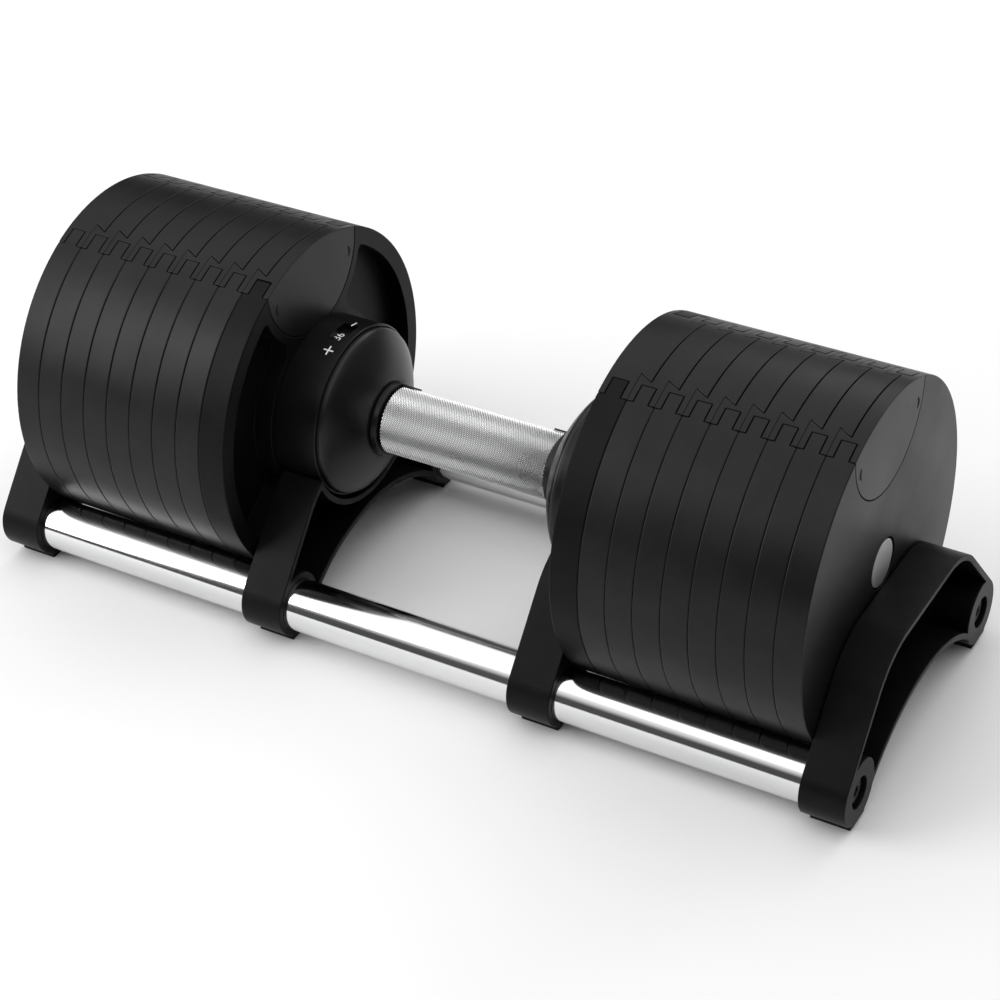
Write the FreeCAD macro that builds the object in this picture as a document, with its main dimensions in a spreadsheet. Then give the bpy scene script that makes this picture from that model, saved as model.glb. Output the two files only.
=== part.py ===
"""Adjustable dumbbell on its cradle, millimetres.

+X runs along the handle, -Y is the side the user stands on and +Z is up. The origin is on
the floor under the middle of the cradle. Sizes are in the sheet "dims": the driving ones are
plain numbers, and what fits to them is worked out below them in the same sheet.
"""
import FreeCAD, Part
import Sketcher
import math
import os
import re

DRIVING = [
    ("disc_radius", 85.0, "plates and inner discs"),
    ("plate_pitch", 13.25, "thickness of one plate"),
    ("plates_per_side", 8, "plates on each end"),
    ("disc_face", 85.5, "from the middle to the inner disc's handle side"),
    ("inner_disc_thickness", 14.0, "the disc that carries the hub"),
    ("bore_radius", 12.3, "hole for the selector bar in discs and plates"),
    ("rim_chamfer", 0.4, "edge of plates and discs"),
    ("insert_radius", 36.8, "outer radius of the plastic insert"),
    ("insert_centre", 77.8, "height of the insert's centre above the axis"),
    ("insert_lip", 2.9, "thickness of each lip that clasps the plate"),
    ("tenon_radius", 28.3, "where the plate's tenon ends inside the insert"),
    ("dovetail_root", 22.7, "half width of the dovetail where it leaves the insert"),
    ("dovetail_tip", 25.9, "half width of the dovetail at its end"),
    ("seat_gap", 0.45, "gap round an insert in its plate"),
    ("dovetail_gap", 0.45, "clearance of the dovetail"),
    ("pocket_outer", 76.5, "outer radius of the inner disc's pockets"),
    ("pocket_inner", 46.0, "inner radius of the inner disc's pockets"),
    ("pocket_depth", 9.5, "depth of the inner disc's pockets"),
    ("pocket_border", 4.7, "rib between the insert and the pockets"),
    ("pocket_rib", 5.0, "thickness of the ribs across the pockets"),
    ("hub_corner", 7.0, "rounding of the pockets' corners beside the hub"),
    ("rim_corner", 2.5, "rounding of the pockets' corners beside the rim"),
    ("grip_radius", 16.25, "outside of the knurled tube"),
    ("grip_half", 45.2, "half length of the knurled tube"),
    ("sleeve_radius", 15.0, "outside of the drive sleeve"),
    ("sleeve_end_gap", 0.5, "between the drive sleeve and the inner disc"),
    ("bar_radius", 11.3, "selector bar"),
    ("bar_gap", 0.3, "between a selector bar and the sleeve, and between the two bars"),
    ("bar_recess", 0.5, "how far the bar's end lies inside the last plate"),
    ("bar_tip", 10.0, "length of the bar's fully round end"),
    ("bar_inner_end", 20.0, "from the middle to the bar's inner end when extended"),
    ("follower_radius", 1.5, "ball on the bar that runs in the sleeve's groove"),
    ("follower_x", 25.0, "from the middle to the ball when extended"),
    ("groove_gap", 0.4, "around the ball in its groove"),
    ("groove_turn", 320.0, "degrees the grip turns from the heaviest to the lightest"),
    ("collar_radius", 18.0, "collar at each end of the knurled tube"),
    ("collar_length", 3.4, "collar at each end of the knurled tube"),
    ("key_length", 10.5, "key that lies on the knurled tube"),
    ("key_width", 5.0, "key that lies on the knurled tube"),
    ("key_height", 0.9, "key that lies on the knurled tube"),
    ("key_overlap", 2.5, "part of the key that lies over the collar"),
    ("key_angle", 38.0, "how far the key is turned from the top to the rear, in degrees"),
    ("dial_radius", 41.0, "rim of the dial"),
    ("dial_length", 17.4, "from the collar to the back of the dial"),
    ("dial_nose", 18.6, "radius where the dial meets the collar"),
    ("dial_edge", 40.2, "outer radius of the dial's dome"),
    ("dome_rise", 11.6, "how far the dome falls back from its nose to its edge"),
    ("dome_start", 0.6, "slope at the nose, as a share of the dome's mean slope"),
    ("dial_rim", 4.5, "width of the dial's rim"),
    ("dial_wall", 3.0, "thickness of the dial"),
    ("hub_radius", 42.5, "outside of the fixed housing"),
    ("hub_length", 22.0, "from the inner disc to the front of the housing"),
    ("hub_wall", 3.0, "housing wall and back plate"),
    ("dial_gap", 0.5, "around the dial in the housing"),
    ("dial_seat", 3.0, "how far the dial reaches into the housing"),
    ("ring_gap", 0.3, "around the number ring in the housing"),
    ("ring_wall", 2.8, "rim of the number ring"),
    ("ring_length", 9.5, "rim of the number ring"),
    ("ring_web", 2.5, "web of the number ring"),
    ("ring_space", 1.0, "between the dial and the number ring"),
    ("window_width", 15.0, "window over the number ring, across"),
    ("window_length", 8.0, "window over the number ring, along the handle"),
    ("window_setback", 3.6, "from the housing's front to the window"),
    ("settings", 9, "weights to choose from"),
    ("bush_wall", 3.0, "bush between sleeve and housing"),
    ("bush_length", 10.5, "bush between sleeve and housing"),
    ("bush_gap", 0.06, "running clearance of the sleeve in its bush"),
    ("hub_screw_radius", 2.0, "screws that hold the housing"),
    ("hub_screw_circle", 31.0, "circle of those screws"),
    ("hub_screw_head", 3.6, "radius of their heads"),
    ("hub_screw_rise", 3.0, "height of their heads"),
    ("hub_screw_grip", 9.0, "their length in the inner disc"),
    ("lock_stem_radius", 2.0, "lock pin"),
    ("lock_setback", 6.5, "from the inner disc to the lock pin's axis"),
    ("lock_drop", 3.0, "travel of the lock pin"),
    ("lock_lug_width", 6.0, "lug that enters the number ring"),
    ("lock_lug_height", 4.6, "lug that enters the number ring"),
    ("lock_gap", 0.3, "around the lock pin"),
    ("notch_length", 3.5, "notches in the number ring, along the handle"),
    ("shelf_height", 2.0, "shelf that guides the lock pin"),
    ("shelf_width", 10.0, "shelf that guides the lock pin"),
    ("shelf_reach", 3.0, "shelf beyond the lock pin's axis"),
    ("seat_radius", 3.2, "flange under the lock spring"),
    ("seat_height", 1.0, "flange under the lock spring"),
    ("spring_wire", 0.35, "radius of the lock spring's wire"),
    ("spring_coil", 2.7, "radius of the lock spring's coil"),
    ("spring_height", 6.0, "lock spring when the pin is up"),
    ("spring_turns", 4, "turns of the lock spring"),
    ("support_width", 22.0, "cradle supports, along the handle"),
    ("support_wall", 3.0, "cradle supports are shells of this wall"),
    ("end_gap", 0.5, "between the last plate and the end support"),
    ("inner_gap", 2.0, "between the inner disc and the inner support"),
    ("support_top", 11.8, "top of the supports below the axis"),
    ("support_flat", 24.1, "half width of the supports' flat top"),
    ("shoulder_radius", 40.0, "rounding beside the flat top"),
    ("arch_radius", 85.7, "arch under each support"),
    ("arch_top", 54.3, "top of the arch below the axis"),
    ("notch_gap", 1.3, "around the housing in the inner support"),
    ("tube_radius", 12.7, "cradle tubes"),
    ("tube_wall", 1.5, "cradle tubes"),
    ("tube_end", 12.0, "solid threaded end of each tube"),
    ("floor_gap", 2.5, "from the plates to the floor"),
    ("rest_gap", 0.3, "between the plates and the tubes"),
    ("boss_radius", 16.0, "boss round each tube"),
    ("access_radius", 7.7, "hole for the tube screw's head"),
    ("access_depth", 6.0, "hole for the tube screw's head"),
    ("tube_screw_radius", 3.0, "screws in the tube ends"),
    ("tube_screw_head", 5.6, "radius of their heads"),
    ("tube_screw_rise", 4.0, "height of their heads"),
    ("tube_screw_reach", 10.0, "their length in the tube's end"),
    ("socket_radius", 2.9, "hexagon socket in the screw heads"),
    ("socket_depth", 2.0, "hexagon socket in the screw heads"),
    ("foot_width", 13.0, "flat under each boss, across the cradle"),
    ("pad_height", 3.0, "rubber foot"),
    ("pad_inset", 1.5, "rubber foot, inside the edge of its support"),
]

DERIVED = [
    ("tube_drop", "disc_radius - boss_radius - pad_height + floor_gap"),
    ("axis_height", "pad_height + boss_radius + tube_drop"),
    ("tube_height", "pad_height + boss_radius"),
    ("tube_side", "sqrt((disc_radius + tube_radius + rest_gap)^2 - tube_drop^2)"),
    ("stack_start", "disc_face + inner_disc_thickness"),
    ("stack_length", "plate_pitch * plates_per_side"),
    ("head_end", "stack_start + stack_length"),
    ("tongue_length", "plate_pitch / 2"),
    ("tongue_run", "tongue_length - dovetail_gap"),
    ("dovetail_flare", "(dovetail_tip - dovetail_root) / tongue_length"),
    ("sleeve_half", "disc_face - sleeve_end_gap"),
    ("sleeve_bore", "bar_radius + bar_gap"),
    ("bar_end", "head_end - bar_recess"),
    ("groove_radius", "follower_radius + groove_gap"),
    ("collar_end", "grip_half + collar_length"),
    ("dial_back", "collar_end + dial_length"),
    ("hub_front", "disc_face - hub_length"),
    ("hub_bore", "hub_radius - hub_wall"),
    ("dial_bore", "dial_radius + dial_gap"),
    ("ring_front", "dial_back + ring_space"),
    ("ring_back", "ring_front + ring_length"),
    ("ring_outer", "hub_bore - ring_gap"),
    ("ring_inner", "ring_outer - ring_wall"),
    ("bush_bore", "sleeve_radius + bush_gap"),
    ("bush_outer", "bush_bore + bush_wall"),
    ("hub_boss", "bush_outer + hub_wall"),
    ("back_plate", "disc_face - hub_wall"),
    ("window_start", "hub_front + window_setback"),
    ("lock_x", "disc_face - lock_setback"),
    ("lock_lug_low", "ring_inner - lock_gap"),
    ("lock_lug_high", "lock_lug_low - lock_lug_height"),
    ("shelf_low", "lock_lug_high - spring_height"),
    ("shelf_high", "shelf_low - shelf_height"),
    ("notch_radius", "hub_radius + notch_gap"),
    ("inner_support_end", "disc_face - inner_gap"),
    ("inner_support_start", "inner_support_end - support_width"),
    ("end_support_start", "head_end + end_gap"),
    ("end_support_end", "end_support_start + support_width"),
    ("tube_half", "end_support_end - access_depth - support_wall"),
    ("pad_length", "support_width - 2 * pad_inset"),
    ("pad_width", "foot_width - 2 * pad_inset"),
]

doc = FreeCAD.newDocument("adjustable_dumbbell")
sheet = doc.addObject("Spreadsheet::Sheet", "dims")
ALIASES = set()
NODES = []


def fill_sheet():
    rows = [(alias, str(value), note) for alias, value, note in DRIVING]
    rows += [(alias, "=" + formula, "worked out") for alias, formula in DERIVED]
    for row, (alias, content, note) in enumerate(rows, start=1):
        sheet.set("A%d" % row, alias)
        sheet.set("B%d" % row, content)
        sheet.set("C%d" % row, note)
        sheet.setAlias("B%d" % row, alias)
        ALIASES.add(alias)
    doc.recompute()


fill_sheet()


def size(alias):
    """The sheet's value of one size, for what Part's functions draw."""
    return float(getattr(sheet, alias))


def bound(text):
    """An expression in which every size's name points into the sheet."""
    return re.sub(r"[a-z][a-z_]+", lambda m: "dims." + m[0] if m[0] in ALIASES else m[0], text)


def bind(obj, **properties):
    for name, text in properties.items():
        obj.setExpression(name, bound(text))


def place(obj, x="0", y="0", z="axis_height"):
    """Puts an object's own origin at x, y, z. The handle's axis is the default height."""
    obj.setExpression("Placement.Base.x", bound(x))
    obj.setExpression("Placement.Base.y", bound(y))
    obj.setExpression("Placement.Base.z", bound(z))


ALONG_X = FreeCAD.Rotation(FreeCAD.Vector(0, 1, 0), 90)
HALF_TURN = FreeCAD.Rotation(FreeCAD.Vector(0, 0, 1), 180)


def rod(name, radius, length, x, y="0", z="axis_height"):
    """A cylinder along +X that starts at x."""
    obj = doc.addObject("Part::Cylinder", name)
    bind(obj, Radius=radius, Height=length)
    obj.Placement = FreeCAD.Placement(FreeCAD.Vector(), ALONG_X)
    place(obj, x, y, z)
    return obj


def post(name, radius, length, x, y, z):
    """A cylinder along +Z that starts at z."""
    obj = doc.addObject("Part::Cylinder", name)
    bind(obj, Radius=radius, Height=length)
    place(obj, x, y, z)
    return obj


def block(name, length, width, height, x, y, z):
    obj = doc.addObject("Part::Box", name)
    bind(obj, Length=length, Width=width, Height=height)
    place(obj, x, y, z)
    return obj


def fuse(name, shapes):
    obj = doc.addObject("Part::MultiFuse", name)
    obj.Shapes = shapes
    obj.Refine = True
    return obj


def cut(name, base, tool):
    obj = doc.addObject("Part::Cut", name)
    obj.Base = base
    obj.Tool = tool
    obj.Refine = True
    return obj


def common(name, shapes):
    obj = doc.addObject("Part::MultiCommon", name)
    obj.Shapes = shapes
    obj.Refine = True
    return obj


def drawn(name, shape):
    """A piece that Part's functions draw, because no primitive or sketch fits it."""
    obj = doc.addObject("Part::Feature", name)
    obj.Shape = shape
    return obj


def round_bar(radius, y, z, start, length):
    """A cylinder along +X, drawn about the axis."""
    return Part.makeCylinder(radius, length, FreeCAD.Vector(start, y, z), FreeCAD.Vector(1, 0, 0))


def turned(name, outline):
    """A body turned about the handle's axis. The outline is (along the axis, radius) pairs."""
    body = doc.addObject("PartDesign::Body", name)
    sketch = body.newObject("Sketcher::SketchObject", name + "_outline")
    plane = [p for p in body.Origin.OriginFeatures if p.Role == "XY_Plane"][0]
    sketch.AttachmentSupport = [(plane, "")]
    sketch.MapMode = "FlatFace"
    start = [(20.0 + 3 * i, 20.0 + (i % 2)) for i in range(len(outline))]
    for i in range(len(outline)):
        a = FreeCAD.Vector(*start[i], 0)
        b = FreeCAD.Vector(*start[(i + 1) % len(outline)], 0)
        sketch.addGeometry(Part.LineSegment(a, b))
    for i, (along, radius) in enumerate(outline):
        corner = Sketcher.Constraint("Coincident", i, 2, (i + 1) % len(outline), 1)
        sketch.addConstraint(corner)
        for kind, text in (("DistanceX", along), ("DistanceY", radius)):
            index = sketch.addConstraint(Sketcher.Constraint(kind, -1, 1, i, 1, 10.0))
            sketch.setExpression("Constraints[%d]" % index, bound(text))
    turn = body.newObject("PartDesign::Revolution", name + "_turn")
    turn.Profile = sketch
    turn.ReferenceAxis = (sketch, ["H_Axis"])
    turn.Angle = 360
    place(body)
    return body


def node(name, pieces, turned_round=False):
    """A named sub-part: one piece, or a group of like pieces."""
    obj = doc.addObject("Part::Compound", name)
    obj.Label = name
    obj.Links = pieces
    if turned_round:
        obj.Placement = FreeCAD.Placement(FreeCAD.Vector(), HALF_TURN)
    NODES.append(obj)
    return obj


def both_ends(name, piece):
    """The same piece at the right end and, turned half round, at the left end."""
    node(name + "_right", [piece])
    node(name + "_left", [piece], turned_round=True)


# ---- plates, inner discs and their inserts


def u_shape(name, radius, x, length):
    """The insert's outline: round below its centre and straight above it."""
    centre = "axis_height + insert_centre"
    rise = "disc_radius - insert_centre + insert_lip"
    top = block(name + "_top", length, "2 * " + radius, rise, x, "-" + radius, centre)
    return fuse(name, [rod(name + "_round", radius, length, x, "0", centre), top])


def seat(name, x, length, gap="0"):
    """An insert's own shape, or with a gap its seat: the tenon's core and a wider lip at each face."""
    lip = "(insert_lip + %s)" % gap
    core = u_shape(name + "_core", "tenon_radius + " + gap, x, length)
    near = u_shape(name + "_near", "insert_radius + " + gap, x, lip)
    far = u_shape(name + "_far", "insert_radius + " + gap, x + " + " + length + " - " + lip, lip)
    return fuse(name, [core, near, far])


def disc(name, x, length):
    """A plate's blank with its bore and bevelled rim."""
    far = x + " + " + length
    low = "disc_radius - rim_chamfer"
    outline = [(x, "bore_radius"), (far, "bore_radius"), (far, low)]
    outline += [(far + " - rim_chamfer", "disc_radius"), (x + " + rim_chamfer", "disc_radius"), (x, low)]
    return turned(name, outline)


def u_wire(x, half):
    """The insert's outline at x, drawn about the handle's axis."""
    centre = size("insert_centre")
    top = size("disc_radius") + size("insert_lip")
    corners = [FreeCAD.Vector(x, -half, top), FreeCAD.Vector(x, -half, centre)]
    corners += [FreeCAD.Vector(x, half, centre), FreeCAD.Vector(x, half, top)]
    low = FreeCAD.Vector(x, 0, centre - half)
    edges = [Part.makeLine(corners[0], corners[1])]
    edges.append(Part.Arc(corners[1], low, corners[2]).toShape())
    edges.append(Part.makeLine(corners[2], corners[3]))
    edges.append(Part.makeLine(corners[3], corners[0]))
    return Part.Wire(edges)


def dovetail(name, x, gap, length):
    """A dovetail that starts at x and widens along +X, larger all round by gap."""
    root = size("dovetail_root") + gap
    tip = root + size("dovetail_flare") * length
    obj = drawn(name, Part.makeLoft([u_wire(0, root), u_wire(length, tip)], True, True))
    place(obj, x)
    return obj


def insert(name, x, length, groove=True, tongue=True):
    """A plastic insert: a dovetail groove in its -X face and a tongue on +X, but not at a stack's ends."""
    limit = rod(name + "_limit", "disc_radius", length + " + plate_pitch", x)
    blank = common(name + "_blank", [limit, seat(name + "_seat", x, length)])
    if groove:
        slot = dovetail(name + "_groove", x, size("dovetail_gap"), size("tongue_length"))
        blank = cut(name + "_grooved", blank, slot)
    if not tongue:
        return blank
    wedge = dovetail(name + "_wedge", x + " + " + length, 0, size("tongue_run"))
    return fuse(name + "_whole", [blank, common(name + "_tongue", [limit, wedge])])


def plates_and_inserts():
    plate = cut("plate", disc("plate_disc", "stack_start", "plate_pitch"),
                seat("plate_seat", "stack_start", "plate_pitch", "seat_gap"))
    joined = insert("insert", "stack_start", "plate_pitch")
    first = insert("first_insert", "stack_start", "plate_pitch", groove=False)
    last = insert("last_insert", "stack_start", "plate_pitch", tongue=False)
    count = int(size("plates_per_side"))
    for i in range(1, count + 1):
        right = "plate_pitch * %d" % (i - 1)
        left = "-2 * stack_start - plate_pitch * %d" % i
        for side, shift in (("right", right), ("left", left)):
            end = last if side == "right" else first
            place(node("plate_%s_%d" % (side, i), [plate]), shift, "0", "0")
            place(node("insert_%s_%d" % (side, i), [end if i == count else joined]), shift, "0", "0")


def screw_places():
    """The four places of the housing's screws, across and above the axis."""
    across = "hub_screw_circle * sqrt(0.5)"
    return [(a + across, "axis_height " + b + " " + across) for a in ("", "-") for b in "+-"]


def rounded_pockets(pockets):
    """Rounds the pockets' corners, more where they meet the hub."""
    doc.recompute()
    edges = []
    for index, edge in enumerate(pockets.Shape.Edges, start=1):
        a, b = (v.Point for v in edge.Vertexes) if len(edge.Vertexes) == 2 else (None, None)
        if a is None or abs(abs(a.x - b.x) - edge.Length) > 0.001:
            continue
        reach = math.hypot(a.y, a.z - size("axis_height"))
        corner = size("hub_corner") if reach < size("pocket_inner") + 1 else size("rim_corner")
        edges.append((index, corner, corner))
    obj = doc.addObject("Part::Fillet", "pockets_rounded")
    obj.Base = pockets
    obj.Edges = edges
    return obj


def inner_discs():
    length = "inner_disc_thickness"
    blank = disc("inner_disc_blank", "disc_face", length)
    ring = cut("pocket_ring", rod("pocket_rim", "pocket_outer", "pocket_depth", "disc_face"),
               rod("pocket_hub", "pocket_inner", "pocket_depth", "disc_face"))
    border = rod("pocket_edge", "insert_radius + pocket_border", "pocket_depth", "disc_face",
                 "0", "axis_height + insert_centre")
    ribs = []
    for i, angle in enumerate((-55, 0, 55)):
        rib = doc.addObject("Part::Box", "pocket_rib_%d" % i)
        bind(rib, Length="pocket_depth", Width="pocket_rib", Height="disc_radius")
        turn = FreeCAD.Rotation(FreeCAD.Vector(1, 0, 0), 180 + angle)
        rib.Placement = FreeCAD.Placement(FreeCAD.Vector(), turn)
        across = "%.9f * pocket_rib / 2" % math.cos(math.radians(angle))
        down = "axis_height + %.9f * pocket_rib / 2" % math.sin(math.radians(angle))
        place(rib, "disc_face", across, down)
        ribs.append(rib)
    pockets = rounded_pockets(cut("pockets", ring, fuse("pocket_limits", [border] + ribs)))
    holes = [rod("disc_screw_hole_%d" % i, "hub_screw_radius", "hub_screw_grip", "disc_face", y, z)
             for i, (y, z) in enumerate(screw_places())]
    tools = fuse("inner_disc_tools", [seat("inner_seat", "disc_face", length, "seat_gap"), pockets] + holes)
    both_ends("inner_disc", cut("inner_disc", blank, tools))
    node("inner_insert_right", [insert("inner_insert", "disc_face", length, groove=False)])
    node("inner_insert_left", [insert("handle_insert", "-stack_start", length, tongue=False)])


# ---- hubs


def housings():
    front = "hub_front"
    step = "hub_front + dial_seat"
    boss_start = "disc_face - bush_length"
    outline = [(front, "dial_bore"), (step, "dial_bore"), (step, "hub_bore")]
    outline += [("back_plate", "hub_bore"), ("back_plate", "hub_boss"), (boss_start, "hub_boss")]
    outline += [(boss_start, "bush_outer"), ("disc_face", "bush_outer"), ("disc_face", "hub_radius")]
    outline += [(front + " + rim_chamfer", "hub_radius"), (front, "hub_radius - rim_chamfer")]
    shell = turned("housing_shell", outline)
    shelf = block("lock_shelf", "back_plate - lock_x + shelf_reach", "shelf_width", "shelf_height",
                  "lock_x - shelf_reach", "-shelf_width / 2", "axis_height - shelf_low")
    window = block("window", "window_length", "window_width", "2 * hub_wall",
                   "window_start", "-window_width / 2", "axis_height + ring_outer")
    guide = post("lock_guide", "lock_stem_radius + lock_gap", "hub_radius - hub_boss",
                 "lock_x", "0", "axis_height - hub_radius - lock_gap")
    holes = [rod("housing_hole_%d" % i, "hub_screw_radius", "hub_wall", "back_plate", y, z)
             for i, (y, z) in enumerate(screw_places())]
    whole = fuse("housing_whole", [shell, shelf])
    tools = fuse("housing_tools", [window, guide] + holes)
    both_ends("hub_housing", cut("housing", whole, tools))


def pair(name, piece):
    """A group of a right-hand piece and the same piece turned half round."""
    other = doc.addObject("Part::Compound", name + "_turned")
    other.Links = [piece]
    other.Placement = FreeCAD.Placement(FreeCAD.Vector(), HALF_TURN)
    node(name, [piece, other])


def bushes_and_screws():
    start = "disc_face - bush_length"
    outline = [(start, "bush_bore"), ("disc_face", "bush_bore")]
    outline += [("disc_face", "bush_outer"), (start, "bush_outer")]
    pair("hub_bushes", turned("bush", outline))
    screws = []
    for i, (y, z) in enumerate(screw_places()):
        head = rod("hub_head_%d" % i, "hub_screw_head", "hub_screw_rise", "back_plate - hub_screw_rise", y, z)
        shank = rod("hub_shank_%d" % i, "hub_screw_radius", "hub_wall + hub_screw_grip", "back_plate", y, z)
        screws.append(fuse("hub_screw_%d" % i, [head, shank]))
    group = doc.addObject("Part::Compound", "hub_screw_set")
    group.Links = screws
    pair("hub_screws", group)


# ---- the turning grip


def dials():
    rim = "dial_back - dial_rim"
    inside = "dial_radius - dial_wall"
    steps = 10
    dome = []
    for i in range(steps + 1):
        t = i / steps
        fall = "dome_rise * (dome_start * %.4f + (1 - dome_start) * %.4f)" % (t, t * t)
        dome.append((fall, "dial_nose + (dial_edge - dial_nose) * %.4f" % t))
    outline = [("collar_end", "sleeve_radius")]
    outline += [("collar_end + " + fall, radius) for fall, radius in dome]
    outline += [(rim, "dial_radius"), ("dial_back", "dial_radius"), ("dial_back", inside)]
    outline += [("collar_end + dial_wall + " + fall, radius) for fall, radius in reversed(dome[:-1])]
    outline += [("dial_back", "dial_nose"), ("dial_back", "sleeve_radius")]
    both_ends("dial", turned("dial", outline))


def number_rings():
    web = "ring_front + ring_web"
    outline = [("ring_front", "sleeve_radius"), (web, "sleeve_radius"), (web, "ring_inner")]
    outline += [("ring_back", "ring_inner"), ("ring_back", "ring_outer"), ("ring_front", "ring_outer")]
    ring = turned("number_ring_blank", outline)
    slot = "lock_lug_width + 2 * lock_gap"
    notches = []
    count = int(size("settings"))
    for i in range(count):
        angle = 180 + i * size("groove_turn") / (count - 1)
        notch = doc.addObject("Part::Box", "notch_%d" % i)
        bind(notch, Length="ring_length", Width=slot, Height="ring_wall + 2 * ring_gap")
        turn = FreeCAD.Rotation(FreeCAD.Vector(1, 0, 0), angle)
        notch.Placement = FreeCAD.Placement(FreeCAD.Vector(), turn)
        c = math.cos(math.radians(angle))
        s = math.sin(math.radians(angle))
        reach = "(ring_inner - ring_gap)"
        across = "%.9f * (%s) / 2 - %.9f * %s" % (-c, slot, s, reach)
        up = "axis_height + %.9f * (%s) / 2 + %.9f * %s" % (-s, slot, c, reach)
        place(notch, "ring_back - notch_length", across, up)
        notches.append(notch)
    both_ends("number_ring", cut("number_ring", ring, fuse("notches", notches)))


def grip():
    tube = cut("grip_tube_cut", rod("grip_outside", "grip_radius", "2 * grip_half", "-grip_half"),
               rod("grip_inside", "sleeve_radius", "2 * grip_half", "-grip_half"))
    node("grip_tube", [tube])
    low = "collar_radius - rim_chamfer"
    outline = [("grip_half", "sleeve_radius"), ("collar_end", "sleeve_radius"), ("collar_end", low)]
    outline += [("collar_end - rim_chamfer", "collar_radius")]
    outline += [("grip_half + rim_chamfer", "collar_radius"), ("grip_half", low)]
    key = doc.addObject("Part::Box", "key")
    bind(key, Length="key_length", Width="key_width", Height="key_height")
    turn = FreeCAD.Rotation(FreeCAD.Vector(1, 0, 0), -size("key_angle"))
    key.Placement = FreeCAD.Placement(FreeCAD.Vector(), turn)
    reach = "grip_radius"
    across = "%s * sin(key_angle) - key_width / 2 * cos(key_angle)" % reach
    up = "axis_height + %s * cos(key_angle) + key_width / 2 * sin(key_angle)" % reach
    place(key, "grip_half + key_overlap - key_length", across, up)
    collar = fuse("collar", [turned("collar_ring", outline), key])
    node("grip_collar_right", [collar])
    other = doc.addObject("Part::Mirroring", "collar_mirrored")
    other.Source = collar
    other.Normal = FreeCAD.Vector(1, 0, 0)
    node("grip_collar_left", [other])


def helical_groove(start, end, through_x, through_angle, left_handed):
    """The space that the ball needs in the sleeve as the grip turns.

    It runs along X from start to end and passes through_x at through_angle, which is counted
    about +X from straight down.
    """
    radius = size("sleeve_bore")
    travel = size("stack_length")
    lead = travel * 360 / size("groove_turn")
    helix = Part.makeHelix(lead, end - start, radius, 0, left_handed)
    hand = -1 if left_handed else 1
    heading = FreeCAD.Vector(0, hand * radius, lead / (2 * math.pi))
    ring = Part.Circle(FreeCAD.Vector(radius, 0, 0), heading, size("groove_radius"))
    shape = Part.Wire(helix).makePipeShell([Part.Wire(ring.toShape())], True, True)
    shape.rotate(FreeCAD.Vector(), FreeCAD.Vector(0, 1, 0), 90)
    angle = through_angle - hand * (through_x - start) / lead * 360
    shape.rotate(FreeCAD.Vector(), FreeCAD.Vector(1, 0, 0), angle)
    shape.translate(FreeCAD.Vector(start, 0, 0))
    return shape


def drive_sleeve():
    half = size("sleeve_half")
    mouth = half + size("groove_radius")
    near = size("follower_x") + 2 * size("groove_radius")
    tube = round_bar(size("sleeve_radius"), 0, 0, -half, 2 * half)
    tube = tube.cut(round_bar(size("sleeve_bore"), 0, 0, -half, 2 * half))
    tube = tube.cut(helical_groove(-mouth, near, size("follower_x"), 270, False))
    tube = tube.cut(helical_groove(-near, mouth, -size("follower_x"), 90, True))
    sleeve = drawn("sleeve", tube)
    place(sleeve)
    node("drive_sleeve", [sleeve])


def selector_bars():
    """Half-round bars, side by side inside the sleeve, each with a fully round end."""
    full = rod("bar_round", "bar_radius", "bar_end - bar_inner_end", "bar_inner_end")
    half = block("bar_half", "bar_end - bar_inner_end - bar_tip", "bar_radius - bar_gap / 2",
                 "2 * bar_radius", "bar_inner_end", "-bar_radius", "axis_height - bar_radius")
    tip = rod("bar_tip_round", "bar_radius", "bar_tip", "bar_end - bar_tip")
    ball = doc.addObject("Part::Sphere", "follower")
    bind(ball, Radius="follower_radius")
    place(ball, "follower_x", "-sleeve_bore")
    shaft = common("bar_shaft", [full, half])
    both_ends("selector_bar", fuse("bar", [shaft, tip, ball]))


# ---- lock pins


def locks():
    down = "axis_height - "
    stem = post("stem", "lock_stem_radius", "notch_radius - lock_gap - hub_boss - lock_gap",
                "lock_x", "0", down + "notch_radius + lock_gap")
    reach = "ring_back - notch_length + lock_gap"
    lug = block("lug", "lock_x - ring_back + notch_length - lock_gap", "lock_lug_width",
                "lock_lug_height", reach, "-lock_lug_width / 2", down + "lock_lug_low")
    flange = post("flange", "seat_radius", "seat_height", "lock_x", "0",
                  down + "lock_lug_high - seat_height")
    pair("lock_pins", fuse("lock_pin", [stem, lug, flange]))
    wire = size("spring_wire")
    height = size("spring_height") - 2 * wire
    coil = size("spring_coil")
    pitch = height / size("spring_turns")
    helix = Part.makeHelix(pitch, height, coil)
    heading = FreeCAD.Vector(0, coil, pitch / (2 * math.pi))
    ring = Part.Circle(FreeCAD.Vector(coil, 0, 0), heading, wire)
    shape = Part.Wire(helix).makePipeShell([Part.Wire(ring.toShape())], True, True)
    spring = drawn("spring", shape)
    place(spring, "lock_x", "0", down + "lock_lug_high + spring_wire")
    pair("lock_springs", spring)


# ---- the cradle


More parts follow.
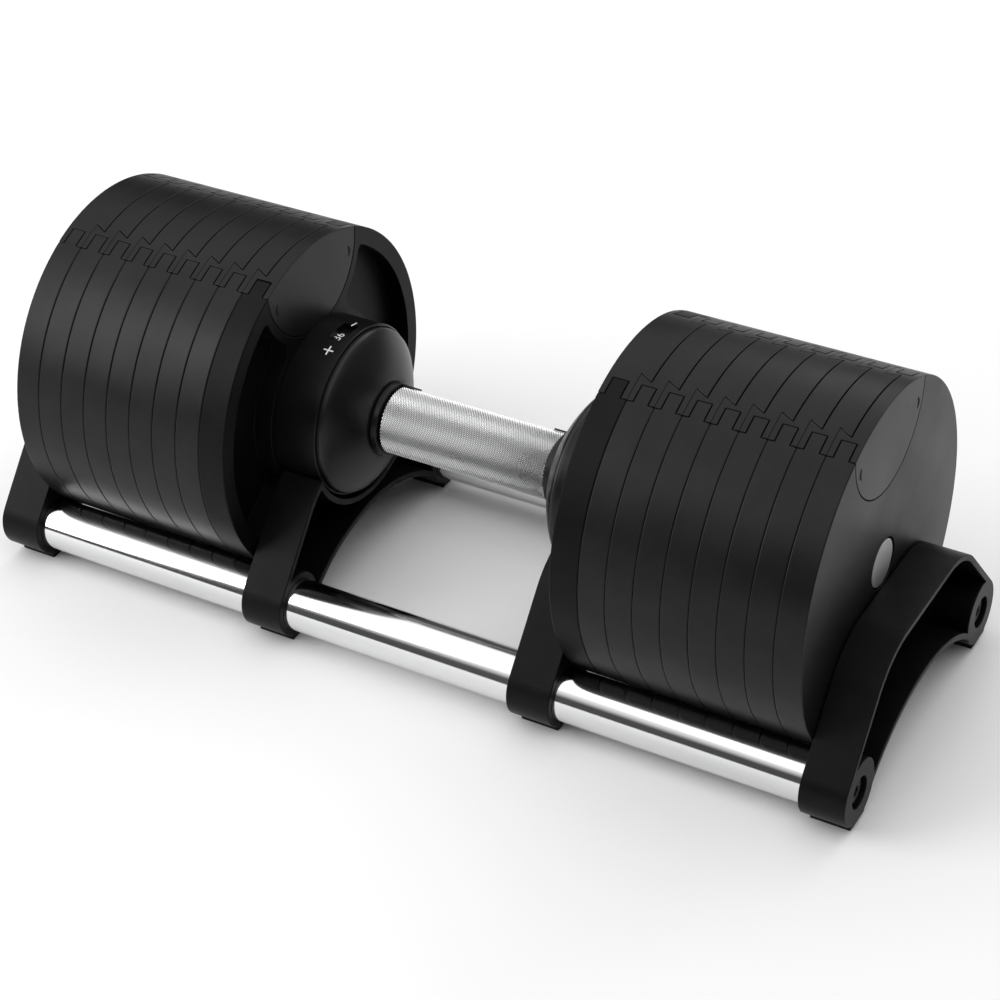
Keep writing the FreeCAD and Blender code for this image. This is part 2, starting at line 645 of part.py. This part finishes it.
def support_profile(inset):
    """The outline of a support, drawn about the axis, smaller all round by inset."""
    top = -size("support_top") - inset
    shoulder = size("shoulder_radius") - inset
    boss = size("boss_radius") - inset
    arch = size("arch_radius") + inset
    side = FreeCAD.Vector(0, size("tube_side"), -size("tube_drop"))
    corner = FreeCAD.Vector(0, size("support_flat"), top - shoulder)
    centre = FreeCAD.Vector(0, 0, -size("arch_top") - size("arch_radius"))

    def at(middle, radius, angle):
        return middle + FreeCAD.Vector(0, math.cos(angle), math.sin(angle)) * radius

    slope = side - corner
    tangent = math.atan2(slope.z, slope.y) + math.acos((shoulder - boss) / slope.Length)
    reach = side - centre
    near = math.acos((reach.Length ** 2 + arch ** 2 - boss ** 2) / (2 * reach.Length * arch))
    arch_end = math.atan2(reach.z, reach.y) + near
    start = FreeCAD.Vector(0, size("support_flat"), top)
    crown = at(centre, arch, math.pi / 2)
    low = at(side, boss, -1.4)
    points = [start, at(corner, shoulder, (tangent + math.pi / 2) / 2), at(corner, shoulder, tangent)]
    points += [at(side, boss, tangent), low, at(centre, arch, arch_end)]
    other = [FreeCAD.Vector(p.x, -p.y, p.z) for p in points]
    edges = [Part.makeLine(other[0], start), Part.Arc(points[5], crown, other[5]).toShape()]
    for p in (points, other):
        edges.append(Part.Arc(p[0], p[1], p[2]).toShape())
        edges.append(Part.makeLine(p[2], p[3]))
        edges.append(Part.Arc(p[3], p[4], p[5]).toShape())
    return Part.Face(Part.Wire(Part.__sortEdges__(edges)))


def support_shell(name, x, notched):
    """A shell with a solid boss round each tube, open on +X or, where it is notched, on -X."""
    width = size("support_width")
    wall = size("support_wall")
    shape = support_profile(0).extrude(FreeCAD.Vector(width, 0, 0))
    hollow = support_profile(wall).extrude(FreeCAD.Vector(width, 0, 0))
    hollow.translate(FreeCAD.Vector(-wall if notched else wall, 0, 0))
    for side in (-1, 1):
        boss = round_bar(size("boss_radius"), side * size("tube_side"), -size("tube_drop"),
                         -width, 3 * width)
        hollow = hollow.cut(boss)
    if notched:
        hollow = hollow.cut(round_bar(size("notch_radius") + wall, 0, 0, -width, 3 * width))
    shape = shape.cut(hollow)
    if notched:
        shape = shape.cut(round_bar(size("notch_radius"), 0, 0, 0, width))
    obj = drawn(name, shape)
    place(obj, x)
    return obj


def sides():
    return (("front", "-tube_side"), ("rear", "tube_side"))


def supports():
    for name, x, notched in (("inner_support", "inner_support_start", True),
                             ("end_support", "end_support_start", False)):
        shell = support_shell(name + "_shell", x, notched)
        feet = []
        holes = []
        for side, y in sides():
            feet.append(block(name + "_foot_" + side, "support_width", "foot_width",
                              "tube_height - pad_height", x, y + " - foot_width / 2", "pad_height"))
            if notched:
                holes.append(rod(name + "_bore_" + side, "tube_radius", "support_width", x, y, "tube_height"))
                continue
            holes.append(rod(name + "_bore_" + side, "tube_radius", "tube_half - " + x, x, y, "tube_height"))
            holes.append(rod(name + "_hole_" + side, "tube_screw_radius", "support_wall",
                             "tube_half", y, "tube_height"))
            holes.append(rod(name + "_access_" + side, "access_radius", "access_depth",
                             "tube_half + support_wall", y, "tube_height"))
        solid = fuse(name + "_solid", [shell] + feet)
        both_ends(name, cut(name, solid, fuse(name + "_holes", holes)))


def tubes():
    y, z = "-tube_side", "tube_height"
    outside = rod("tube_outside", "tube_radius", "2 * tube_half", "-tube_half", y, z)
    hollow = rod("tube_hollow", "tube_radius - tube_wall", "2 * (tube_half - tube_end)",
                 "tube_end - tube_half", y, z)
    thread = rod("tube_thread", "tube_screw_radius", "2 * tube_half", "-tube_half", y, z)
    tube = cut("tube", outside, fuse("tube_inside", [hollow, thread]))
    node("tube_front", [tube])
    node("tube_rear", [tube], turned_round=True)


def tube_screws():
    screws = []
    for side, y in sides():
        seat_x = "tube_half + support_wall"
        head = rod("tube_head_" + side, "tube_screw_head", "tube_screw_rise", seat_x, y, "tube_height")
        shank = rod("tube_shank_" + side, "tube_screw_radius", "support_wall + tube_screw_reach",
                    "tube_half - tube_screw_reach", y, "tube_height")
        socket = doc.addObject("Part::Prism", "tube_socket_" + side)
        socket.Polygon = 6
        bind(socket, Circumradius="socket_radius", Height="socket_depth")
        socket.Placement = FreeCAD.Placement(FreeCAD.Vector(), ALONG_X)
        place(socket, seat_x + " + tube_screw_rise - socket_depth", y, "tube_height")
        whole = fuse("tube_screw_whole_" + side, [head, shank])
        screws.append(cut("tube_screw_" + side, whole, socket))
    group = doc.addObject("Part::Compound", "tube_screw_set")
    group.Links = screws
    pair("tube_screws", group)


def rubber_feet():
    pads = []
    for start in ("inner_support_start", "end_support_start"):
        for side, y in sides():
            pads.append(block("pad_%s_%s" % (start, side), "pad_length", "pad_width", "pad_height",
                              start + " + pad_inset", y + " - pad_width / 2", "0"))
    group = doc.addObject("Part::Compound", "pad_set")
    group.Links = pads
    pair("rubber_feet", group)


for make in (plates_and_inserts, inner_discs, housings, bushes_and_screws, dials, number_rings, grip,
             drive_sleeve, selector_bars, locks, supports, tubes, tube_screws, rubber_feet):
    make()
doc.recompute()


def check_and_write():
    for obj in doc.Objects:
        if "Invalid" in obj.State or "Error" in obj.State:
            raise RuntimeError("%s did not build: %s" % (obj.Name, obj.State))
    for obj in NODES:
        if obj.Shape.isNull() or not obj.Shape.isValid() or not obj.Shape.Solids:
            raise RuntimeError("%s has no valid solid" % obj.Label)
    os.makedirs("parts", exist_ok=True)
    for obj in NODES:
        obj.Shape.exportStep("parts/%s.step" % obj.Label)
        print("%-22s %d solids %9.1f mm3" % (obj.Label, len(obj.Shape.Solids), obj.Shape.Volume))
    print(len(NODES), "nodes")


check_and_write()
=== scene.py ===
"""Looks of an adjustable dumbbell in its cradle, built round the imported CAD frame."""

import math

import bmesh
import bpy
from mathutils import Matrix, Vector

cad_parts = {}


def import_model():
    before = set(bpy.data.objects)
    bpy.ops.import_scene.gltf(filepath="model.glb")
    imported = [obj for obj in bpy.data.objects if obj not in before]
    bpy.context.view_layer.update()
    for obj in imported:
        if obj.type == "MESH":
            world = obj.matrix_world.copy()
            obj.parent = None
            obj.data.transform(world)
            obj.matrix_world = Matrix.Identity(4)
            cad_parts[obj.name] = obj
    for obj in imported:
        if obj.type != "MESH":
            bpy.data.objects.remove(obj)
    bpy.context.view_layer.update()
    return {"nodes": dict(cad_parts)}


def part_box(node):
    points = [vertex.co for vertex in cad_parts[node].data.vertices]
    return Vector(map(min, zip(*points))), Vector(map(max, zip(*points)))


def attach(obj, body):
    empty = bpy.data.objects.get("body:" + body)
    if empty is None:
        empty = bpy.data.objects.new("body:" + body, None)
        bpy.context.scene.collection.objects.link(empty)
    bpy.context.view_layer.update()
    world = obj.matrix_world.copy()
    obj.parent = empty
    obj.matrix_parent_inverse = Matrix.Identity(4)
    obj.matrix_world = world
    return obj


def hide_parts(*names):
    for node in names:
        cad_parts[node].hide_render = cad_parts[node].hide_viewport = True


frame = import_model()
NODES = frame["nodes"]
MM = 0.001
SIDES = ("left", "right")
SIGN = {"left": -1, "right": 1}
PLATES = 8

GRIP_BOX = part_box("grip_tube")
AXIS_Z = (GRIP_BOX[0][2] + GRIP_BOX[1][2]) / 2
GRIP_R = (GRIP_BOX[1][2] - GRIP_BOX[0][2]) / 2
KNURL_DEPTH = 0.34 * MM
PRINT_LIFT = 0.03 * MM  # printed marks stand this far off the surface


# ---- materials


class Shader:
    """A node material with a Principled shader and short names for the nodes used here."""

    def __init__(self, name, roughness, metallic=0.0, specular=0.5):
        self.material = bpy.data.materials.new(name)
        self.material.use_nodes = True
        self.tree = self.material.node_tree
        self.bsdf = self.tree.nodes["Principled BSDF"]
        self.bsdf.inputs["Roughness"].default_value = roughness
        self.bsdf.inputs["Metallic"].default_value = metallic
        self.bsdf.inputs["Specular IOR Level"].default_value = specular
        self.place = self.tree.nodes.new("ShaderNodeTexCoord").outputs["Object"]

    def node(self, kind, **values):
        made = self.tree.nodes.new(kind)
        for key, value in values.items():
            made.inputs[key.replace("_", " ")].default_value = value
        return made

    def link(self, source, target):
        self.tree.links.new(source, target)

    def stretched(self, scale):
        mapping = self.node("ShaderNodeMapping", Scale=scale)
        self.link(self.place, mapping.inputs["Vector"])
        return mapping.outputs["Vector"]

    def noise(self, scale, detail=2.0, roughness=0.5, place=None):
        made = self.node("ShaderNodeTexNoise", Scale=scale, Detail=detail, Roughness=roughness)
        self.link(place or self.place, made.inputs["Vector"])
        return made.outputs["Fac"]

    def cells(self, scale):
        made = self.node("ShaderNodeTexVoronoi", Scale=scale)
        self.link(self.place, made.inputs["Vector"])
        return made.outputs["Distance"]

    def maths(self, operation, *inputs):
        """A Math node's result; each input is a number or another node's output."""
        made = self.tree.nodes.new("ShaderNodeMath")
        made.operation = operation
        for socket, value in zip(made.inputs, inputs):
            if isinstance(value, float):
                socket.default_value = value
            else:
                self.link(value, socket)
        return made.outputs[0]

    def between(self, source, low, high, at=(0.3, 0.7)):
        """A number that runs from low to high as the source runs over at."""
        made = self.tree.nodes.new("ShaderNodeMapRange")
        for index, value in enumerate((at[0], at[1], low, high), start=1):
            made.inputs[index].default_value = value
        self.link(source, made.inputs["Value"])
        return made.outputs["Result"]

    def colours(self, source, dark, light, at=(0.3, 0.7)):
        ramp = self.tree.nodes.new("ShaderNodeValToRGB")
        for element, place, colour in zip(ramp.color_ramp.elements, at, (dark, light)):
            element.position = place
            element.color = (*colour, 1)
        self.link(source, ramp.inputs["Fac"])
        self.link(ramp.outputs["Color"], self.bsdf.inputs["Base Color"])

    def rough(self, source, low, high, at=(0.3, 0.7)):
        self.link(self.between(source, low, high, at), self.bsdf.inputs["Roughness"])

    def bump(self, *layers):
        """Layers of (height source, strength, depth in mm), one on the next."""
        normal = None
        for source, strength, depth in layers:
            made = self.node("ShaderNodeBump", Strength=strength, Distance=depth * MM)
            self.link(source, made.inputs["Height"])
            if normal:
                self.link(normal, made.inputs["Normal"])
            normal = made.outputs["Normal"]
        self.link(normal, self.bsdf.inputs["Normal"])


def grey(value, tint=0.0):
    return (value * (1 - tint), value, value * (1 + tint))


def black_material(name, dark, light, rough, grain, depth, specular=0.5, pebble=None):
    """Coated or moulded black: slow mottling, a fine grain and, where asked for, pebbles."""
    made = Shader(name, rough[0], specular=specular)
    tint = 0.02
    made.colours(made.noise(60, 4, 0.6), grey(dark, tint), grey(light, tint))
    made.rough(made.noise(22, 3), *rough)
    layers = [(made.noise(grain, 3, 0.6), 0.5, depth)]
    if pebble:
        layers.append((made.cells(pebble), 0.35, depth * 1.5))
    made.bump(*layers)
    return made.material


def steel_material(name, colour, rough, streaks, depth, tint=0.0):
    """Bare steel with fine turning or brushing marks."""
    made = Shader(name, rough[0], metallic=1.0)
    marks = made.noise(1, 4, 0.6, made.stretched(streaks))
    in_marks = 0.86
    made.colours(marks, grey(colour * in_marks, tint), grey(colour, tint))
    made.rough(made.noise(45, 3), *rough)
    made.bump((marks, 0.4, depth))
    return made.material


def knurl_material():
    """Bright steel whose knurl has painted shade, its colour going dark towards the bottom of
    its grooves.
    """
    made = Shader("knurled_steel", 0.3, metallic=1.0)
    parts = made.tree.nodes.new("ShaderNodeSeparateXYZ")
    made.link(made.place, parts.inputs["Vector"])
    squares = []
    for axis, middle in (("Y", 0.0), ("Z", AXIS_Z)):
        shift = made.maths("SUBTRACT", parts.outputs[axis], middle)
        squares.append(made.maths("MULTIPLY", shift, shift))
    radius = made.maths("SQRT", made.maths("ADD", *squares))
    # painted shade: colour runs from near black at the groove roots to bright steel at the
    # peaks, by distance from the axis
    height = made.between(radius, 0.0, 1.0, (GRIP_R - KNURL_DEPTH, GRIP_R))
    made.colours(height, grey(0.01), grey(0.97, 0.004), (0.02, 0.42))
    made.rough(made.noise(60, 3), 0.24, 0.32)
    made.bump((made.noise(400, 2), 0.05, 0.01))
    return made.material


def chrome_material():
    made = Shader("chrome", 0.1, metallic=1.0)
    smears = made.noise(1, 4, 0.55, made.stretched((8, 60, 60)))
    made.colours(smears, grey(0.74, 0.004), grey(0.82, 0.004))
    made.rough(smears, 0.09, 0.14, (0.35, 0.75))
    made.bump((made.noise(30, 2), 0.08, 0.02))
    return made.material


def bronze_material():
    made = Shader("sintered_bronze", 0.4, metallic=1.0)
    made.colours(made.noise(900, 3, 0.6), (0.32, 0.19, 0.08), (0.48, 0.30, 0.14))
    made.rough(made.noise(200, 2), 0.35, 0.5)
    made.bump((made.cells(1500), 0.3, 0.03))
    return made.material


def print_material():
    made = Shader("printed_white", 0.5)
    made.colours(made.noise(2500, 3, 0.6), grey(0.70), grey(0.86), (0.2, 0.5))
    made.rough(made.noise(800, 2), 0.42, 0.6)
    made.bump((made.noise(3000, 2), 0.2, 0.02))
    return made.material


def floor_material():
    made = Shader("paper_floor", 0.9, specular=0.15)
    made.colours(made.noise(3, 2), grey(0.86), grey(0.88))
    made.bump((made.noise(900, 2), 0.05, 0.02))
    return made.material


# black_material(name, dark, light, roughness range, grain, depth, specular, pebbles)
# steel_material(name, colour, roughness range, streaks, depth, tint)
LOOKS = {
    "plate_steel": black_material(
        "powder_coat", 0.0030, 0.0070, (0.34, 0.44), 900, 0.06, 0.22),
    "insert_plastic": black_material(
        "insert_black", 0.0030, 0.0060, (0.30, 0.40), 1200, 0.04, 0.22),
    "disc_plastic": black_material(
        "disc_black", 0.0015, 0.0035, (0.40, 0.50), 1700, 0.05, 0.12),
    "housing_plastic": black_material(
        "housing_black", 0.0025, 0.0045, (0.30, 0.38), 2400, 0.03, 0.24),
    "dial_plastic": black_material(
        "dial_black", 0.0035, 0.0060, (0.32, 0.40), 2200, 0.03, 0.32),
    "collar_plastic": black_material(
        "collar_black", 0.0030, 0.0055, (0.30, 0.38), 2400, 0.03, 0.28),
    "number_plastic": black_material(
        "ring_black", 0.0030, 0.0050, (0.40, 0.48), 2200, 0.02, 0.20),
    "cradle_plastic": black_material(
        "cradle_black", 0.0018, 0.0040, (0.36, 0.46), 1100, 0.06, 0.12, 800),
    "foot_rubber": black_material(
        "foot_rubber", 0.006, 0.010, (0.70, 0.82), 1200, 0.05, 0.2),
    "tube_chrome": chrome_material(),
    "grip_steel": knurl_material(),
    "bar_steel": steel_material(
        "turned_steel", 0.62, (0.50, 0.60), (60, 2600, 2600), 0.03),
    "sleeve_steel": steel_material(
        "ground_steel", 0.55, (0.28, 0.38), (3000, 200, 200), 0.02),
    "screw_steel": steel_material(
        "black_screw", 0.05, (0.36, 0.46), (900, 900, 900), 0.02, 0.02),
    "lock_steel": steel_material(
        "pin_steel", 0.55, (0.30, 0.40), (900, 900, 300), 0.02),
    "spring_steel": steel_material(
        "spring_steel", 0.50, (0.26, 0.36), (1200, 1200, 1200), 0.02, 0.02),
    "bush_bronze": bronze_material(),
}
PRINT = print_material()


def dress_frame():
    """Every carried-over CAD node takes the material of its slot."""
    for node in NODES.values():
        for slot in node.material_slots:
            name = slot.material.name.split(".")[0]
            if name in LOOKS:
                slot.material = LOOKS[name]


# ---- mesh helpers


def new_piece(name, mesh, material, body):
    piece = bpy.data.objects.new(name, mesh)
    bpy.context.scene.collection.objects.link(piece)
    mesh.materials.clear()
    mesh.materials.append(material)
    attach(piece, body)
    return piece


def finish_mesh(bm, name, smooth_angle=30):
    """Turns a bmesh into a mesh whose shading is smooth up to the angle."""
    bmesh.ops.recalc_face_normals(bm, faces=bm.faces)
    for face in bm.faces:
        face.smooth = True
    limit = math.radians(smooth_angle)
    for edge in bm.edges:
        edge.smooth = edge.is_manifold and edge.calc_face_angle(0) < limit
    mesh = bpy.data.meshes.new(name)
    bm.to_mesh(mesh)
    bm.free()
    return mesh


def round_axis(x, radius, angle):
    """A point at an angle from the top, round the handle's axis."""
    return (x, radius * math.sin(angle), AXIS_Z + radius * math.cos(angle))


def from_axis(vert):
    """Where a vertex lies across the handle, as seen from its axis."""
    return vert.co.yz - Vector((0, AXIS_Z))


def join_rings(bm, one, two):
    """Faces between two closed rings of as many points."""
    for i in range(len(one)):
        k = (i + 1) % len(one)
        bm.faces.new((one[i], one[k], two[k], two[i]))


def close_bar(bm, rows):
    """Four sides and two ends along rows of four points: near pair, then far pair."""
    for one, two in zip(rows, rows[1:]):
        for i, k in ((0, 1), (1, 3), (3, 2), (2, 0)):
            bm.faces.new((one[i], one[k], two[k], two[i]))
    for row in (rows[0], rows[-1]):
        bm.faces.new((row[0], row[1], row[3], row[2]))


def welded(node):
    """A node's mesh with its seams joined and its flat faces whole."""
    same_place = 0.002 * MM
    flat = math.radians(0.6)
    bm = bmesh.new()
    bm.from_mesh(NODES[node].data)
    bmesh.ops.remove_doubles(bm, verts=bm.verts, dist=same_place)
    bmesh.ops.dissolve_limit(bm, angle_limit=flat, verts=bm.verts, edges=bm.edges,
                             delimit={"NORMAL"})
    return bm


def rounded_copy(node, body, slot, width, segments=2):
    """Stands for a CAD node: the same shape with its sharp edges rounded, by a width in mm."""
    sharp = 28
    mesh = finish_mesh(welded(node), node + "_rounded", sharp)
    piece = new_piece(node + "_rounded", mesh, LOOKS[slot], body)
    bevel = piece.modifiers.new("edges", "BEVEL")
    bevel.width = width * MM
    bevel.segments = segments
    bevel.limit_method = "ANGLE"
    bevel.angle_limit = math.radians(sharp)
    bevel.miter_outer = "MITER_ARC"
    even = piece.modifiers.new("even_shading", "WEIGHTED_NORMAL")
    even.weight = 80
    even.keep_sharp = True
    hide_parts(node)


def revolve(bm, outline, steps):
    """Turns a closed outline of (x, radius) points round the handle's axis."""
    turns = [2 * math.pi * i / steps for i in range(steps)]
    rings = [[bm.verts.new(round_axis(x, radius, turn)) for turn in turns]
             for x, radius in outline]
    for one, two in zip(rings, rings[1:] + rings[:1]):
        join_rings(bm, one, two)


# ---- pieces


def knurled_grip():
    """The grip tube with a diamond knurl of raised four-sided points."""
    around = 56
    root = GRIP_R - KNURL_DEPTH
    half_depth = GRIP_R - KNURL_DEPTH / 2
    plain_end = 0.9 * MM
    start, end = GRIP_BOX[0][0], GRIP_BOX[1][0]
    half = end - plain_end
    along = 2 * round(half / (math.pi * GRIP_R / around))
    bm = bmesh.new()
    rows = []
    for j in range(2 * along + 1):
        x = -half + half * j / along
        at_end = j in (0, 2 * along)
        row = []
        for i in range(2 * around):
            peak = (i + j) % 2 == 0 and not at_end
            row.append(bm.verts.new(
                round_axis(x, GRIP_R if peak else root, math.pi * i / around)))
        rows.append(row)
    for one, two in zip(rows, rows[1:]):
        for i in range(2 * around):
            k = (i + 1) % (2 * around)
            a, b, c, d = one[i], one[k], two[k], two[i]
            if all(from_axis(v).length < half_depth for v in (a, c)):
                split = ((a, b, c), (a, c, d))
            else:
                split = ((a, b, d), (b, c, d))
            for corners in split:
                bm.faces.new(corners)
    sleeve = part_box("drive_sleeve")
    bore = (sleeve[1][2] - sleeve[0][2]) / 2
    for x, ring in ((start, rows[0]), (end, rows[-1])):
        outer = [bm.verts.new((x, v.co.y, v.co.z)) for v in ring]
        inside = []
        for v in ring:
            out = from_axis(v).normalized() * bore
            inside.append(bm.verts.new((x, out.x, AXIS_Z + out.y)))
        join_rings(bm, ring, outer)
        join_rings(bm, outer, inside)
    mesh = finish_mesh(bm, "knurled_grip", 5)
    piece = new_piece("knurled_grip", mesh, LOOKS["grip_steel"], "grip")
    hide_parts("grip_tube")


def cradle_tubes():
    """The two chrome tubes with bevelled ends, finer than in the frame."""
    bevel = 0.5 * MM
    wall = 1.5 * MM
    inward = 3 * MM
    for node in ("tube_front", "tube_rear"):
        low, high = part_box(node)
        middle = (low + high) / 2
        radius = (high[2] - low[2]) / 2
        bore = radius - wall
        outline = [(low[0], bore), (low[0], radius - bevel), (low[0] + bevel, radius),
                   (high[0] - bevel, radius), (high[0], radius - bevel), (high[0], bore),
                   (high[0] - inward, bore), (low[0] + inward, bore)]
        bm = bmesh.new()
        revolve(bm, outline, 160)
        bmesh.ops.translate(bm, verts=bm.verts, vec=(0, middle[1], middle[2] - AXIS_Z))
        mesh = finish_mesh(bm, node + "_chrome")
        piece = new_piece(node + "_chrome", mesh, LOOKS["tube_chrome"], "cradle")
        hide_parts(node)


def catch_marks():
    """Small raised crescents near the outline of the inserts that close a stack."""
    steps = 10
    reach = math.radians(52)
    bend = 3.6 * MM
    centre_y, centre_z = 27.5 * MM, AXIS_Z + 66.5 * MM
    tip, belly = 0.05 * MM, 0.75 * MM
    sunk, raised = 0.3 * MM, 0.12 * MM
    for node, side in (("insert_right_8", 1), ("inner_insert_left", 1),
                       ("insert_left_8", -1), ("inner_insert_right", -1)):
        low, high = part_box(node)
        face = (high if side > 0 else low)[0]
        for way, where in ((-1, "front"), (1, "rear")):
            bm = bmesh.new()
            rows = []
            for i in range(steps + 1):
                t = -1 + 2 * i / steps
                thick = belly * math.cos(math.pi / 2 * t) + tip
                row = []
                for radius in (bend - thick, bend + thick):
                    y = way * (centre_y + radius * math.cos(reach * t))
                    z = centre_z + radius * math.sin(reach * t)
                    for out in (-sunk, raised):
                        row.append(bm.verts.new((face + side * out, y, z)))
                rows.append(row)
            close_bar(bm, rows)
            name = "catch_%s_%s" % (node, where)
            new_piece(name, finish_mesh(bm, name), LOOKS["foot_rubber"], "dumbbell")


def wrapped_sign(name, long, bars, side, x, angle, radius, body):
    """A plus or minus of thin printed bars, laid round the handle's axis.

    Each bar is its half lengths round and along the axis, as shares of the sign's length.
    """
    steps = 8
    thick = 0.05 * MM
    bm = bmesh.new()
    for half_round, half_along in bars:
        rows = []
        for i in range(steps + 1):
            turn = half_round * long * (2 * i / steps - 1) / radius
            place = -SIGN[side] * (math.radians(angle) + turn)
            rows.append([bm.verts.new(round_axis(x + v, radius + out, place))
                         for out in (0.0, thick)
                         for v in (-half_along * long, half_along * long)])
        close_bar(bm, rows)
    new_piece(name, finish_mesh(bm, name), PRINT, body)


def wrapped_text(name, text, size, side, x, angle, radius, body):
    """Printed text, laid round the handle's axis at an angle from the top."""
    curve = bpy.data.curves.new(name, "FONT")
    curve.body = text
    curve.size = size
    curve.align_x = "CENTER"
    curve.align_y = "CENTER"
    curve.extrude = 0.02 * MM
    holder = bpy.data.objects.new(name + "_text", curve)
    bpy.context.scene.collection.objects.link(holder)
    bpy.context.view_layer.update()
    seen = holder.evaluated_get(bpy.context.evaluated_depsgraph_get())
    bm = bmesh.new()
    bm.from_mesh(bpy.data.meshes.new_from_object(seen))
    bpy.data.objects.remove(holder)
    bmesh.ops.triangulate(bm, faces=bm.faces)
    for vert in bm.verts:
        u, v, w = vert.co
        place = -SIGN[side] * (math.radians(angle) + u / radius)
        vert.co = round_axis(x + SIGN[side] * v, radius + w, place)
    new_piece(name, finish_mesh(bm, name), PRINT, body)


def numbers():
    """Plus and minus on the hub housings, and 36 on the rings behind their windows."""
    thin = 0.07
    sign_x, text_x = -1.2 * MM, 1.7 * MM
    for side in SIDES:
        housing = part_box("hub_housing_" + side)
        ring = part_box("number_ring_" + side)
        radius = (housing[1][2] - housing[0][2]) / 2 + PRINT_LIFT
        ring_radius = (ring[1][2] - ring[0][2]) / 2 + PRINT_LIFT
        middle = (ring[0][0] + ring[1][0]) / 2
        x = middle + SIGN[side] * sign_x
        wrapped_sign("mark_plus_" + side, 5.4 * MM, ((0.5, thin), (thin, 0.5)), side,
                     x, -19.5, radius, "dumbbell")
        wrapped_sign("mark_minus_" + side, 5.0 * MM, ((0.5, thin),), side,
                     x, 11.5, radius, "dumbbell")
        wrapped_text("number_36_" + side, "36", 6.2 * MM, side,
                     middle + SIGN[side] * text_x, -1, ring_radius, "grip")


def edges():
    """Copies with rounded edges for the pieces whose edges show."""
    for side in SIDES:
        for i in range(1, PLATES + 1):
            rounded_copy("plate_%s_%d" % (side, i), "dumbbell", "plate_steel", 0.3)
            rounded_copy("insert_%s_%d" % (side, i), "dumbbell", "insert_plastic", 0.25)
        rounded_copy("inner_disc_" + side, "dumbbell", "disc_plastic", 0.35)
        rounded_copy("inner_insert_" + side, "dumbbell", "insert_plastic", 0.25)
        rounded_copy("hub_housing_" + side, "dumbbell", "housing_plastic", 0.5)
        rounded_copy("dial_" + side, "grip", "dial_plastic", 0.5)
        rounded_copy("grip_collar_" + side, "grip", "collar_plastic", 0.35)
        for support in ("inner_support_", "end_support_"):
            rounded_copy(support + side, "cradle", "cradle_plastic", 0.9, segments=3)


# ---- stage


def floor():
    span = 25.0
    bm = bmesh.new()
    corners = ((-1, -1), (1, -1), (1, 1), (-1, 1))
    bm.faces.new([bm.verts.new((x * span, y * span, 0)) for x, y in corners])
    mesh = bpy.data.meshes.new("floor")
    bm.to_mesh(mesh)
    bm.free()
    mesh.materials.append(floor_material())
    piece = bpy.data.objects.new("floor", mesh)
    bpy.context.scene.collection.objects.link(piece)


def softbox(name, place, target, size, power):
    """A rectangular lamp of a size in metres and a power in watts, turned to a target."""
    light = bpy.data.lights.new(name, "AREA")
    light.shape = "RECTANGLE"
    light.size, light.size_y = size
    light.energy = power
    lamp = bpy.data.objects.new(name, light)
    lamp.location = place
    towards = Vector(target) - Vector(place)
    lamp.rotation_euler = towards.to_track_quat("-Z", "Y").to_euler()
    bpy.context.scene.collection.objects.link(lamp)


def world():
    """A white tent, darker low down all round, which draws the dark line along the chrome."""
    made = bpy.data.worlds.new("tent")
    made.use_nodes = True
    tree = made.node_tree
    place = tree.nodes.new("ShaderNodeTexCoord")
    parts = tree.nodes.new("ShaderNodeSeparateXYZ")
    ramp = tree.nodes.new("ShaderNodeValToRGB")
    stops = ramp.color_ramp.elements
    stops[0].position, stops[0].color = 0.02, (0.07, 0.07, 0.07, 1)
    stops[1].position, stops[1].color = 0.95, (1.05, 1.05, 1.05, 1)
    for height, level in ((0.38, 0.08), (0.62, 0.85)):
        stops.new(height).color = (level, level, level, 1)
    background = tree.nodes["Background"]
    tree.links.new(place.outputs["Generated"], parts.inputs["Vector"])
    tree.links.new(parts.outputs["Z"], ramp.inputs["Fac"])
    tree.links.new(ramp.outputs["Color"], background.inputs["Color"])
    background.inputs["Strength"].default_value = 1.0
    bpy.context.scene.world = made


def lights():
    softbox("overhead", (-0.10, -0.10, 1.30), (0, 0, 0), (2.4, 2.0), 6)
    softbox("front_left", (-1.15, -0.85, 0.80), (0, 0, 0.08), (1.0, 1.1), 13)
    softbox("back", (0.2, 1.2, 0.9), (0, 0, 0.1), (1.2, 0.6), 4)
    world()


def camera():
    """Aims at a target from a distance, at the picture's true viewing angle."""
    azimuth, elevation, roll = (math.radians(a) for a in (31.55, 35.82, -2.82))
    target = Vector((0.0162, -0.0086, 0.0656))
    distance = 1.2381
    back = Vector((math.sin(azimuth) * math.cos(elevation),
                   -math.cos(azimuth) * math.cos(elevation), math.sin(elevation)))
    level = Vector((math.cos(azimuth), math.sin(azimuth), 0))
    upright = back.cross(level)
    right = level * math.cos(roll) + upright * math.sin(roll)
    up = upright * math.cos(roll) - level * math.sin(roll)
    data = bpy.data.cameras.new("camera")
    data.lens = 94.85
    data.sensor_width = 36
    data.clip_start = 0.05
    made = bpy.data.objects.new("camera", data)
    bpy.context.scene.collection.objects.link(made)
    axes = Matrix((right, up, back)).transposed()
    made.matrix_world = Matrix.Translation(target + back * distance) @ axes.to_4x4()
    bpy.context.scene.camera = made


dress_frame()
edges()
knurled_grip()
cradle_tubes()
catch_marks()
numbers()
floor()
lights()
camera()
bpy.context.scene.view_settings.view_transform = "Standard"
